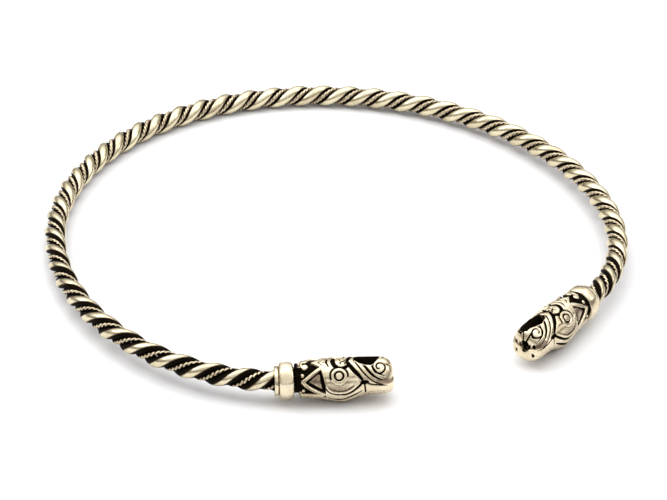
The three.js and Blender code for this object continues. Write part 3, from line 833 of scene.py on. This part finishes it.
def build_terminal_mesh(look):
    """Points of one terminal as a grid, and how much patina is left at each."""
    deg = np.linspace(-90, 270, HEAD_COLUMNS, endpoint=False)
    collar_x, collar_r = collar_profile()
    turned = len(collar_x)
    X, R = blank_grid(deg, collar_x, collar_r)
    D = np.broadcast_to(deg[None, :], X.shape)
    height = np.zeros_like(X)
    dark = np.zeros_like(X)
    height[turned:], dark[turned:] = carve_head(X[turned:], R[turned:], D[turned:], look)

    # A light unevenness of the casting.
    rough = np.random.default_rng(CASTING_SEED).normal(size=height.shape)
    rough = box_blur(box_blur(rough, CASTING_BLUR, 0, False), CASTING_BLUR, 1, True)
    height[turned:] += CASTING_ROUGH * rough[turned:] / rough.std()

    points = np.stack([X, R * np.cos(np.radians(D)), R * np.sin(np.radians(D))], -1)
    carved = points + surface_normals(points, D) * height[..., None]
    carved[-1] = carved[-1].mean(0)

    # Patina is left in the neck and the socket, and behind the bead. Every hollow gets brown patina with
    # painted shade in it, and the underside, under the jaw, is painted brown as shade.
    hollow = box_blur(box_blur(height, HOLLOW_BLUR[0], 0, False), HOLLOW_BLUR[1], 1, True) - height
    patina_and_shade = np.clip(np.maximum(dark, SHADE_AND_PATINA_BROWN * smooth(0.08, 0.25, hollow)), 0, 1)
    # Painted shade: the underside of the head is painted brown, more towards the bottom.
    under = SHADE_AND_PATINA_BROWN * smooth(0.25, 0.9, -np.sin(np.radians(D))) * (X < ROUND_START + 0.5)
    patina_and_shade[turned:] = np.maximum(patina_and_shade[turned:], under[turned:])
    in_neck = (collar_x > BEAD_HALF) & (collar_r < 3.8)
    in_step = (np.abs(collar_x + 1.85) < 0.15) & (collar_r < 3.55)
    in_socket = np.arange(turned) < len(SOCKET)
    patina_and_shade[:turned][in_neck | in_step | in_socket] = 1.0
    return carved, patina_and_shade


def terminal_matrix(look):
    centre, forward, _ = rod_frame(np.array([look["at"]]))
    direction = forward[0] * (-1 if look["at"] == 0 else 1)
    turn = math.atan2(direction[1], direction[0]) + math.radians(look["yaw"])
    roll = Matrix.Rotation(math.radians(look["roll"]), 4, "X")
    local = Matrix.Translation(centre[0]) @ Matrix.Rotation(turn, 4, "Z") @ roll
    return RING @ local


def build_terminals():
    for look in HEADS:
        carved, patina_and_shade = build_terminal_mesh(look)
        rows, cols = patina_and_shade.shape
        # Grid rows run forward, so the quads are turned to face outward. The muzzle's tip is one point.
        faces = [f[::-1] for f in grid_faces(rows - 1, cols)]
        tip = (rows - 1) * cols
        last = tip - cols
        points = np.vstack([carved.reshape(-1, 3)[:tip], carved[-1].mean(0)[None]])
        for k in range(cols):
            faces.append([last + (k + 1) % cols, tip, last + k])
        shade = np.append(patina_and_shade.reshape(-1)[:tip], 1.0)
        world = place(points, terminal_matrix(look))
        world[:, 2] = np.maximum(world[:, 2], 0.0)
        make_mesh(look["name"], world, faces, shade, cast_bronze, look["node"])


build_rod()
build_terminals()


# ---------------------------------------------------------------- floor, light and camera
def direction_to(azimuth, elevation):
    a, e = math.radians(azimuth), math.radians(elevation)
    return Vector((math.sin(a) * math.cos(e), -math.cos(a) * math.cos(e), math.sin(e)))


def area_light(name, distance, azimuth, elevation, size, power):
    """A square light that faces the middle of the ring."""
    light = bpy.data.lights.new(name, "AREA")
    light.energy = power
    light.size = size
    obj = bpy.data.objects.new(name, light)
    away = direction_to(azimuth, elevation)
    obj.location = away * distance
    obj.rotation_mode = "QUATERNION"
    obj.rotation_quaternion = (-away).to_track_quat("-Z", "Y")
    bpy.context.scene.collection.objects.link(obj)


def build_floor():
    mesh = bpy.data.meshes.new("floor")
    corners = [(x * FLOOR_HALF, y * FLOOR_HALF, 0) for x, y in ((-1, -1), (1, -1), (1, 1), (-1, 1))]
    mesh.from_pydata(corners, [], [(0, 1, 2, 3)])
    obj = bpy.data.objects.new("floor", mesh)
    bpy.context.scene.collection.objects.link(obj)
    material, nodes, links = node_material("pale_floor")
    out = nodes.new("ShaderNodeOutputMaterial")
    surface = {"Base Color": (*FLOOR_COLOUR, 1), "Roughness": 0.6, "Specular IOR Level": 0.3}
    shader = add_node(nodes, "ShaderNodeBsdfPrincipled", surface)
    links.new(shader.outputs[0], out.inputs[0])
    mesh.materials.append(material)


def build_world():
    """A studio that is white overhead and dark below, so that the metal has something to mirror."""
    world = bpy.data.worlds.new("studio")
    bpy.context.scene.world = world
    world.use_nodes = True
    nodes, links = world.node_tree.nodes, world.node_tree.links
    nodes.clear()
    out = nodes.new("ShaderNodeOutputWorld")
    background = nodes.new("ShaderNodeBackground")
    links.new(background.outputs[0], out.inputs[0])
    coords = nodes.new("ShaderNodeTexCoord")
    split = nodes.new("ShaderNodeSeparateXYZ")
    links.new(coords.outputs["Generated"], split.inputs[0])
    ramp = nodes.new("ShaderNodeValToRGB")
    stops = ramp.color_ramp.elements
    stops[0].position, stops[1].position = SKY[0][0], SKY[-1][0]
    stops.new(SKY[1][0])
    for stop, (_, colour) in zip(stops, SKY):
        stop.color = (*colour, 1)
    links.new(split.outputs["Z"], ramp.inputs[0])
    links.new(ramp.outputs[0], background.inputs[0])


def build_camera():
    camera = bpy.data.cameras.new("camera")
    camera.sensor_width = CAMERA_SENSOR
    camera.lens = CAMERA_LENS
    camera.clip_start, camera.clip_end = CAMERA_CLIP
    obj = bpy.data.objects.new("camera", camera)
    away = direction_to(CAMERA_AZIMUTH, CAMERA_ELEVATION)
    target = Vector((back[0] + LOOK_AT[0], back[1] + LOOK_AT[1], LOOK_AT[2]))
    rotation = (-away).to_track_quat("-Z", "Y").to_matrix().to_4x4()
    local = Matrix.Translation(target + away * CAMERA_DISTANCE) @ rotation
    world = RING @ local
    world.translation = world.translation * MM
    obj.matrix_world = world
    bpy.context.scene.collection.objects.link(obj)
    bpy.context.scene.camera = obj


build_floor()
build_world()
for light in LIGHTS:
    area_light(*light)
build_camera()
bpy.context.scene.view_settings.view_transform = "Standard"
